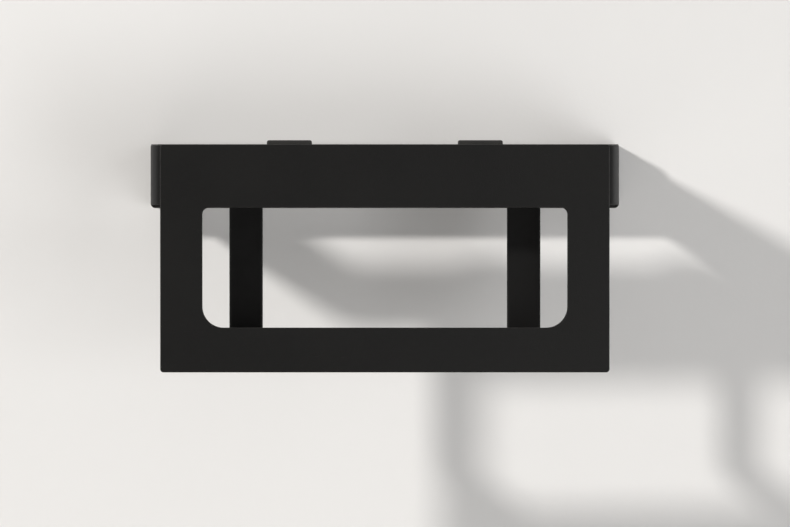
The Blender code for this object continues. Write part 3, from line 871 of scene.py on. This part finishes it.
def hook(side):
    """A cradle hook, countersunk for its bolts and bored for the plate's studs."""
    x = middle_of(f"hook_{side}").x
    bar = skin(f"coated_hook_{side}", [ring(station, BAR_EDGE) for station in hook_stations(x)])
    tools = []
    for number in PAIR:
        bolt = middle_of(f"hook_bolt_{side}_{number}")
        stud = middle_of(f"plate_stud_{side}_{number}")
        head = (bolt.x, POST_MIDDLE - BAR_HALF, bolt.z)
        tools.append(bore(M5, stud, 1, HOOK_LOW.y, HOOK_LOW.y + 2 * BAR_HALF))
        tools.append(seat(M5, M5.thread, head, QUARTER, "X"))
    dress(shade(cut(bar, tools)), COAT, FOLDING, f"hook_{side}")


def cheek_outline(low, high, past):
    """Side view of the pan; its lower corner has few, wide steps, to carry the rolled rim."""
    nose = [(low.y + NOSE * back, low.z + NOSE * up, 0) for up, back in reversed(quarter(NOSE_STEPS))]
    upper = [(low.y, high.z, CHEEK_RADIUS), (past, high.z, 0)]
    return tangent_path([(past, low.z, 0), *nose, *upper], steps=2 * ARC_STEPS)


def pan_blank(low, high):
    """The bracket's bent pan before it is bored: outside, trimmed ends and hollow."""
    past = 2 * BEND
    pan = block("coated_wall_bracket", (low.x, low.y - past, low.z), (high.x, high.y, high.z + past), BEND)
    side = cheek_outline(low, high, past)
    pan = cut(pan, [flat_piece("side", [side], low.x - past, high.x + past, 0, "X")], "INTERSECT")
    inside_low = (low.x + SHEET, low.y - past, low.z + SHEET)
    inside_high = (high.x - SHEET, high.y - SHEET, high.z + past)
    return pan, block("inside", inside_low, inside_high, INNER_BEND)


def wall_bracket():
    """The pan of bent sheet, its holes bored and the rim of the sheet softened."""
    low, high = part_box("wall_bracket")
    pan, inside = pan_blank(low, high)
    tools = [inside]
    for number in FOUR:
        tools.append(bore(M6, middle_of(f"wall_screw_{number}"), 1, high.y - SHEET, high.y))
    for side, sign, x in (("left", -1, low.x), ("right", 1, high.x)):
        pivot = middle_of(f"pivot_bolt_{side}")
        tools.append(seat(M6, SHEET, (x, pivot.y, pivot.z), sign * QUARTER, "Y"))
    pan = cut(pan, tools)
    clean(pan.data)

    def on_rim(edge):
        at_top = min(vert.co.z for vert in edge.verts) > high.z - SAME_POINT
        at_front = max(vert.co.y for vert in edge.verts) < low.y + CHEEK_RADIUS + SAME_POINT
        return (at_top or at_front) and edge.calc_face_angle() > math.radians(RIM_TURN)

    soften(pan, SHEET_EDGE, EDGE_STEPS, on_rim)
    dress(shade(settle(pan)), COAT, FIXED, "wall_bracket")


# Rubber and foam

def rolled_rings(stations, radius):
    """Outer rings of a tube, rolled in a little at its two ends."""
    rings = [ring(station, radius) for station in stations[1:-1]]
    rolls = []
    for end, inner in ((stations[0], stations[1]), (stations[-1], stations[-2])):
        inward = (inner[0] - end[0]).normalized()
        roll = []
        for shrink, back in quarter():
            shrink *= SLEEVE_LIP
            place = end[0] + inward * (SLEEVE_LIP * back)
            moved = (place, end[1], end[2], end[3] - shrink, end[4] - shrink)
            roll.append(ring(moved, radius - shrink / 2))
        rolls.append(roll)
    return rolls[0] + rings + rolls[1][::-1]


def sleeve(side):
    """A rubber tube of flat section that follows the hook from its post to its tray."""
    low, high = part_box(f"sleeve_{side}")
    line = hook_line(high.z, (low.y, TRAY_MIDDLE, 0))
    across = across_x((low.x + high.x) / 2)
    outer_half, outer_thickness = (high.x - low.x) / 2, BAR_HALF + (high.y - HOOK_HIGH.y)
    inner_half, inner_thickness = HOOK_HALF_WIDTH + SLEEVE_GAP, BAR_HALF + SLEEVE_GAP
    outer = bent_stations([(*point, outer_half) for point in line], across, outer_thickness)
    inner = bent_stations([(*point, inner_half) for point in line], across, inner_thickness)
    rings = rolled_rings(outer, SLEEVE_EDGE) + [ring(station, BAR_EDGE) for station in reversed(inner)]
    tube = shade(skin(f"rubber_sleeve_{side}", rings, closed=True), SHARP_ON_RUBBER)
    dress(tube, SLEEVE_RUBBER, FOLDING, f"sleeve_{side}")


def bumper(side):
    """A rubber clip over the frame's top edge."""
    low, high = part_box(f"bumper_{side}")
    inner_low, inner_high = low.y + BUMPER_LEG, high.y - BUMPER_LEG
    roof = ARM_HIGH.z + HOLE_SLACK
    outline = tangent_path([
        (high.y, high.z, BUMPER_ROUND), (low.y, high.z, BUMPER_ROUND), (low.y, low.z, BUMPER_TIP),
        (inner_low, low.z, 0), (inner_low, roof, 0), (inner_high, roof, 0), (inner_high, low.z, 0),
        (high.y, low.z, BUMPER_TIP),
    ], steps=BUMPER_STEPS)
    clip = flat_piece(f"rubber_bumper_{side}", [outline], low.x, high.x, BUMPER_EDGE, "X")
    dress(clip, CLIP_RUBBER, FOLDING, f"bumper_{side}")


def plate_pad(side):
    """A foam strip on the back of one of the plate's uprights."""
    low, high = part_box(f"plate_pad_{side}")
    outline = upright(low, high, PAD_CORNER, PAD_CORNER)
    pad = flat_piece(f"foam_strip_{side}", [outline], low.y, high.y, PAD_EDGE, "Y")
    dress(pad, FOAM, FOLDING, f"plate_pad_{side}")


# Fasteners: a master is threaded and set on every point by one Geometry Nodes tree. Turns added
# so that a thread's count stays above zero, the Random Value node's sockets for a plain number,
# and what the tree is given
ABOVE_ZERO = 100.0
FLOAT_MOST, FLOAT_VALUE = 3, 1
GIVEN = {
    "Geometry": "Geometry", "Fastener": "Object", "Thread Radius": "Float", "Pitch": "Float",
    "Thread Top": "Float", "Thread Bottom": "Float", "Thread Depth": "Float", "Spin": "Float",
    "Seed": "Int", "Finish": "Material",
}


def threaded(nodes, given, shape):
    """A screw groove in the shape where its surface lies on the thread's radius."""
    calc = nodes.math
    x, y, z = nodes.node("ShaderNodeSeparateXYZ", nodes.node("GeometryNodeInputPosition")[:1])
    radius = calc("SQRT", calc("ADD", calc("MULTIPLY", x, x), calc("MULTIPLY", y, y)))
    angle = calc("DIVIDE", calc("ARCTAN2", y, x), 2 * math.pi)
    turns = calc("SUBTRACT", calc("DIVIDE", z, given["Pitch"]), angle)
    saw = calc("FRACT", calc("ADD", turns, ABOVE_ZERO))
    ramp = calc("SUBTRACT", calc("MULTIPLY", saw, 2.0), 1.0)
    depth = calc("MULTIPLY", calc("ABSOLUTE", ramp), given["Thread Depth"])
    off = calc("ABSOLUTE", calc("SUBTRACT", radius, given["Thread Radius"]))
    below = calc("LESS_THAN", z, given["Thread Top"])
    above = calc("GREATER_THAN", z, given["Thread Bottom"])
    chosen = calc("MULTIPLY", calc("LESS_THAN", off, FINE / 2), below, above)
    factor = calc("DIVIDE", calc("SUBTRACT", radius, depth), radius)
    grooved = (calc("MULTIPLY", x, factor), calc("MULTIPLY", y, factor), z)
    place = nodes.node("ShaderNodeCombineXYZ", grooved)[0]
    return nodes.node("GeometryNodeSetPosition",
                      {"Geometry": shape, "Selection": chosen, "Position": place})[0]


def set_on_points(nodes, given, shape):
    """The shape on each point, its Z along the point's axis, turned a little by chance."""
    axis = nodes.node("GeometryNodeInputNamedAttribute", {"Name": "axis"}, data_type="FLOAT_VECTOR")
    aim = nodes.node("FunctionNodeAlignRotationToVector", {"Vector": axis["Attribute"]}, axis="Z")[0]
    placed = nodes.node("GeometryNodeInstanceOnPoints",
                        {"Points": given["Geometry"], "Instance": shape, "Rotation": aim})[0]
    chance = nodes.node("FunctionNodeRandomValue", {FLOAT_MOST: given["Spin"], "Seed": given["Seed"]})
    about = {"Axis": (0, 0, 1), "Angle": chance[FLOAT_VALUE]}
    spin = nodes.node("FunctionNodeAxisAngleToRotation", about)[0]
    return nodes.node("GeometryNodeRotateInstances", {"Instances": placed, "Rotation": spin})[0]


def fastener_tree():
    """Cuts a thread into a master, sets it on each point and gives it its finish."""
    nodes = Nodes(bpy.data.node_groups.new("fastener set", "GeometryNodeTree"))
    new_socket = nodes.tree.interface.new_socket
    for label, kind in GIVEN.items():
        new_socket(label, in_out="INPUT", socket_type="NodeSocket" + kind)
    new_socket("Geometry", in_out="OUTPUT", socket_type="NodeSocketGeometry")
    given = nodes.node("NodeGroupInput")
    master = nodes.node("GeometryNodeObjectInfo", {"Object": given["Fastener"]})["Geometry"]
    spread = set_on_points(nodes, given, threaded(nodes, given, master))
    real = nodes.node("GeometryNodeRealizeInstances", (spread,))[0]
    coat = nodes.node("GeometryNodeSetMaterial", {"Geometry": real, "Material": given["Finish"]})[0]
    nodes.wire(coat, nodes.tree.nodes.new("NodeGroupOutput").inputs["Geometry"])
    return nodes.tree


FASTENERS = fastener_tree()


def points_with_axes(name, places):
    """A mesh of bare points, each with the axis that its fastener's Z takes."""
    mesh = bpy.data.meshes.new(name)
    mesh.from_pydata([place for place, _ in places], [], [])
    axes = mesh.attributes.new("axis", "FLOAT_VECTOR", "POINT")
    for index, (_, axis) in enumerate(places):
        axes.data[index].vector = axis
    return add(name, mesh)


def fasteners(name, profile, places, finish, body, nodes, thread=NO_THREAD, seed=1, spin=LITTLE_SPIN):
    """One piece of several fasteners, made by the tree and turned into a plain mesh."""
    master = turned("master", profile)
    host = points_with_axes(name, places)
    modifier = host.modifiers.new("fasteners", "NODES")
    modifier.node_group = FASTENERS
    sockets = [item for item in FASTENERS.interface.items_tree if item.in_out == "INPUT"]
    values = (master, *thread, THREAD_DEPTH, spin, seed, finish.material)
    for socket, value in zip(sockets[1:], values):
        modifier[socket.identifier] = value
    bpy.context.view_layer.update()
    piece = settle(host)
    bpy.data.objects.remove(master, do_unlink=True)
    dress(shade(piece, SHARP_ON_FASTENER), finish, body, *nodes)


def places_of(nodes, axes, out=0.0):
    """Each node's middle, or how far out along its axis, with that axis; axes may be one for all."""
    axes = [axes] * len(nodes) if isinstance(axes, Vector) else axes
    places = []
    for node, axis in zip(nodes, axes):
        reach = max(extent(node, k) * abs(axis[k]) for k in range(3))
        places.append((middle_of(node) + axis * reach * out, axis))
    return places


def bolts(name, nodes, axes, size, depth, axis, body, seed):
    """Countersunk bolts, flush where they start, threaded on the far part of the shank."""
    length = extent(nodes[0], axis)
    thread = (size.thread, size.pitch, -length * PLAIN_SHANK, -length + RUN_OUT)
    places = places_of(nodes, axes, out=0.5)
    fasteners(name, countersunk_profile(size, depth, length), places, OXIDE, body, nodes, thread, seed)


def lock_nuts(name, nodes, axes, size, axis, body, seed):
    """Lock nuts and the nylon rings in their collars."""
    places, height = places_of(nodes, axes), extent(nodes[0], axis)
    fasteners(f"{name}_lock_nuts", lock_nut_profile(size, height), places, OXIDE, body, nodes, seed=seed)
    fasteners(f"{name}_nut_inserts", nylon_ring_profile(size, height), places, NYLON, body, [], seed=seed)


def washers(name, nodes, axes, axis, finish):
    """Stamped washers for an M6 thread, sized by their nodes."""
    profile = washer_profile(extent(nodes[0], 2) / 2, extent(nodes[0], axis))
    fasteners(name, profile, places_of(nodes, axes), finish, FIXED, nodes)


def pivot_fasteners():
    """Bolts, nuts and washers of the two pivots."""
    kinds = ("bolt", "nut", "friction_outer", "friction_inner", "washer")
    heads, nuts, *rest = ([f"pivot_{kind}_{side}" for side in SIDES] for kind in kinds)
    bolts("pivot_bolts", heads, OUTWARD, M6, SHEET, 0, FIXED, seed=1)
    lock_nuts("pivot", nuts, [-axis for axis in OUTWARD], M6, 0, FIXED, seed=4)
    for kind, nodes, finish in zip(kinds[2:], rest, (NYLON, NYLON, ZINC)):
        washers(f"pivot_{kind}s", nodes, OUTWARD, 0, finish)


def wall_fasteners():
    """Hexagon screws and washers that hold the bracket to the wall."""
    screws, rings = ([f"wall_{kind}_{n}" for n in FOUR] for kind in ("screw", "washer"))
    heads = [(place - FRONT * SCREW_HEAD, axis) for place, axis in places_of(screws, FRONT, out=0.5)]
    profile = wall_screw_profile(extent(screws[0], 1) - SCREW_HEAD)
    fasteners("wall_screws", profile, heads, OXIDE, FIXED, screws, seed=7, spin=ANY_SPIN)
    washers("wall_washers", rings, FRONT, 1, ZINC)


def folding_fasteners():
    """Bolts and lock nuts of the hooks, and the plate's studs and nuts."""
    labels = [f"{side}_{number}" for side in SIDES for number in PAIR]
    kinds = ("hook_bolt", "hook_nut", "plate_stud", "plate_nut")
    heads, hook_nuts, studs, plate_nuts = ([f"{kind}_{label}" for label in labels] for kind in kinds)
    bolts("hook_bolts", heads, FRONT, M5, M5.thread, 1, FOLDING, seed=2)
    lock_nuts("hook", hook_nuts, -FRONT, M5, 1, FOLDING, seed=5)
    length = extent(studs[0], 1)
    thread = (M5.thread, M5.pitch, length / 2 - RUN_OUT, -length / 2 + STUD_COLLAR + 3 * FINE)
    places = places_of(studs, -FRONT)
    fasteners("plate_studs", stud_profile(length), places, OXIDE, FOLDING, studs, thread, seed=3)
    profile = nut_profile(M5, extent(plate_nuts[0], 1))
    fasteners("plate_nuts", profile, places_of(plate_nuts, -FRONT), OXIDE, FOLDING, plate_nuts, seed=6)


# Stage, lights and camera

WALL_Y = 0.0006
FLOOR_Z = -1.1
STAGE_HALF = 4.0
FADE = (1.2, 2.8)
NEAR = 0.004
WALL_COLOUR = (0.78, 0.765, 0.75)
FLOOR_COLOUR = (0.80, 0.79, 0.775)
PAINT_CLOUDS, PAINT_DRIFT = 1.3, 0.985
PAINT_GRAIN, PAINT_BUMP, PAINT_ROUGHNESS = 420.0, (0.0004, 0.12), 0.9
SURROUND_COLOUR = (1.0, 0.99, 0.975, 1)
SURROUND_LIGHT, SURROUND_SEEN = 0.16, 0.80

# Lamps: place, width, watts and colour. The key throws the hard shadow to the lower right and
# the low lamp the soft one to the upper left, as on the wall in the photograph. The three from
# behind show the sides and the back, and don't light the wall's front
LAMP_AIM = (0.0, -0.12, -0.04)
WARM, COOL, PLAIN = (1.0, 0.985, 0.96), (0.97, 0.985, 1.0), (1.0, 1.0, 1.0)
LAMPS = {
    "key": ((-1.62, -2.45, 0.98), 0.27, 60, WARM),
    "low": ((0.80, -2.40, -0.36), 0.85, 17, COOL),
    "right": ((2.0, -1.6, 0.6), 1.7, 9, COOL),
    "top": ((0.1, -0.9, 2.1), 1.5, 4, PLAIN),
    "behind": ((0.0, 2.4, 0.3), 2.2, 24, PLAIN),
    "rear left": ((-2.2, 0.7, 0.35), 1.1, 22, PLAIN),
    "rear right": ((2.2, 0.7, 0.15), 1.1, 22, PLAIN),
}

CAMERA_LENS = 290.0
CAMERA_SENSOR = 36.0
CAMERA_REACH = (0.05, 60.0)
CAMERA_DISTANCE = 3.765
CAMERA_RISE = 0.001
CAMERA_AIM = (0.006, -0.052)


def stage_finish(name, colour):
    """Pale matt paint, clear from behind, to light, to what lies right against it, and far out."""
    finish = Finish(name, specular=0.2)
    darker = tuple(PAINT_DRIFT * part for part in colour)
    finish.feed("Base Color", finish.mix(finish.noise(PAINT_CLOUDS), colour, darker))
    finish.feed("Roughness", PAINT_ROUGHNESS)
    finish.bump(finish.noise(PAINT_GRAIN), *PAINT_BUMP)

    path = finish.node("ShaderNodeLightPath")
    near = finish.math("LESS_THAN", path["Ray Length"], NEAR)
    against = finish.math("MULTIPLY", near, finish.math("SUBTRACT", 1.0, path["Is Camera Ray"]))
    far = finish.spread(finish.vector("LENGTH", finish.place())["Value"], *FADE)
    behind = finish.node("ShaderNodeNewGeometry")["Backfacing"]
    unseen = finish.math("MAXIMUM", behind, against, far, path["Is Shadow Ray"])
    clear = finish.node("ShaderNodeBsdfTransparent")[0]
    choose = finish.node("ShaderNodeMixShader", (unseen, finish.shader.outputs[0], clear))[0]
    finish.wire(choose, finish.tree.nodes["Material Output"].inputs["Surface"])
    return finish.material


def stage():
    """The wall that the rack hangs on, and a floor."""
    s, y, z = STAGE_HALF, WALL_Y, FLOOR_Z
    for name, colour, corners in (
        ("wall", WALL_COLOUR, [(-s, y, z), (s, y, z), (s, y, s), (-s, y, s)]),
        ("floor", FLOOR_COLOUR, [(-s, -2 * s, z), (s, -2 * s, z), (s, y, z), (-s, y, z)]),
    ):
        mesh = bpy.data.meshes.new(name)
        mesh.from_pydata(corners, [], [range(len(corners))])
        mesh.materials.append(stage_finish(f"{name}_paint", colour))
        add(name, mesh)


def aimed(name, data, position, aim):
    """A lamp or camera at a point, looking at another."""
    obj = add(name, data)
    obj.location = position
    obj.rotation_mode = "QUATERNION"
    obj.rotation_quaternion = (Vector(aim) - Vector(position)).to_track_quat("-Z", "Y")
    return obj


def surround():
    """Soft even light from all round, which the camera and gloss see as a pale studio."""
    world = bpy.data.worlds.new("surround")
    world.use_nodes = True
    nodes = Nodes(world.node_tree)
    path = nodes.node("ShaderNodeLightPath")
    rays = [path[f"Is {kind} Ray"] for kind in ("Camera", "Glossy", "Transmission")]
    seen = nodes.math("MAXIMUM", *rays)
    background = nodes.tree.nodes["Background"].inputs
    nodes.wire(SURROUND_COLOUR, background["Color"])
    nodes.wire(nodes.spread(seen, 0.0, 1.0, SURROUND_LIGHT, SURROUND_SEEN), background["Strength"])
    bpy.context.scene.world = world


def lights():
    for name, (position, width, watts, colour) in LAMPS.items():
        lamp = bpy.data.lights.new(name, "AREA")
        lamp.shape = "DISK"
        lamp.size, lamp.energy, lamp.color = width, watts, colour
        aimed(name, lamp, position, LAMP_AIM).visible_camera = False


def camera():
    """The photograph's camera: level with the rack's top edge, straight in front of it."""
    data = bpy.data.cameras.new("camera")
    data.lens = CAMERA_LENS
    data.sensor_width = CAMERA_SENSOR
    data.clip_start, data.clip_end = CAMERA_REACH
    position = (0.0, PLATE_LOW.y - CAMERA_DISTANCE, PLATE_HIGH.z + CAMERA_RISE)
    aim = (CAMERA_AIM[0], PLATE_LOW.y, CAMERA_AIM[1])
    bpy.context.scene.camera = aimed("camera", data, position, aim)


def build():
    camera()
    surround()
    lights()
    stage()
    front_plate()
    arm_frame()
    wall_bracket()
    for side in SIDES:
        hook(side)
        sleeve(side)
        bumper(side)
        plate_pad(side)
    pivot_fasteners()
    wall_fasteners()
    folding_fasteners()


build()
bpy.context.scene.view_settings.view_transform = "Standard"
